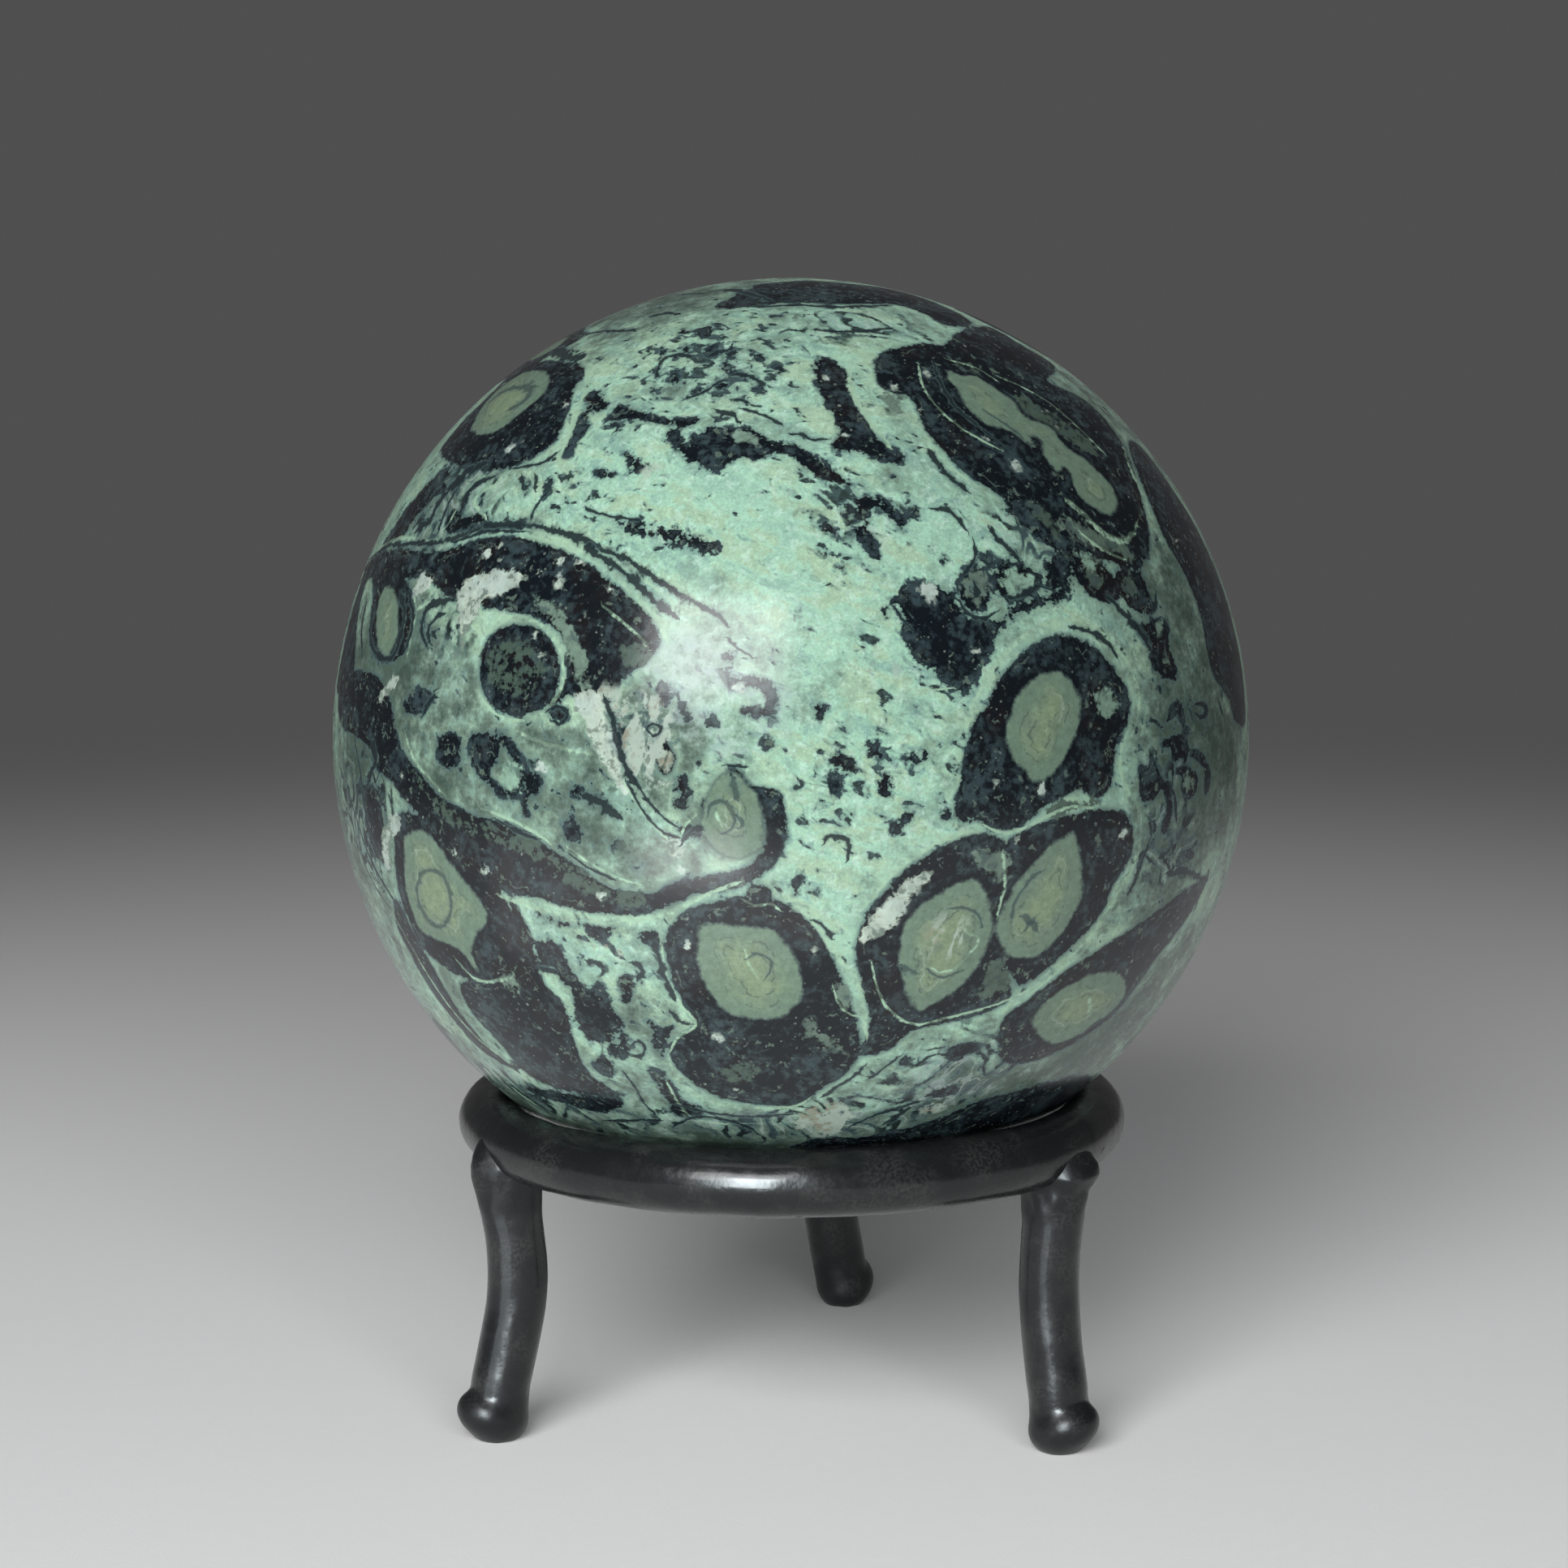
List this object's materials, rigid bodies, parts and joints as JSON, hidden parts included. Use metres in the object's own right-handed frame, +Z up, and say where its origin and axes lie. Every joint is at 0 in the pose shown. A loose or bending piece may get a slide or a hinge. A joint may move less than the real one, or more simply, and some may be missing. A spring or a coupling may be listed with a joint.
{
  "type": "kambaba jasper sphere on a ring stand",
  "caption": "Polished ball of kambaba jasper, green with dark eyes and bands, resting on a black metal ring stand with short bent legs.",
  "frame": {"origin": "on the surface that the feet stand on, straight below the middle of the ring and of the ball", "axes": "+Z up; +Y away from the front, towards the back leg; +X to the right as seen from the front"},
  "size_m": [0.06, 0.06, 0.0747],
  "materials": {
    "jasper": "opaque stone, mint and sage green with blackish green eyes and bands, polished to a high gloss",
    "black_enamel": "thick black enamel on steel rod, semi-gloss, slightly uneven over the welds"
  },
  "bodies": {
    "root": {"jasper_ball": "jasper", "stand_ring": "black_enamel", "leg_front_left": "black_enamel", "leg_front_right": "black_enamel", "leg_back": "black_enamel"}
  },
  "joints": []
}
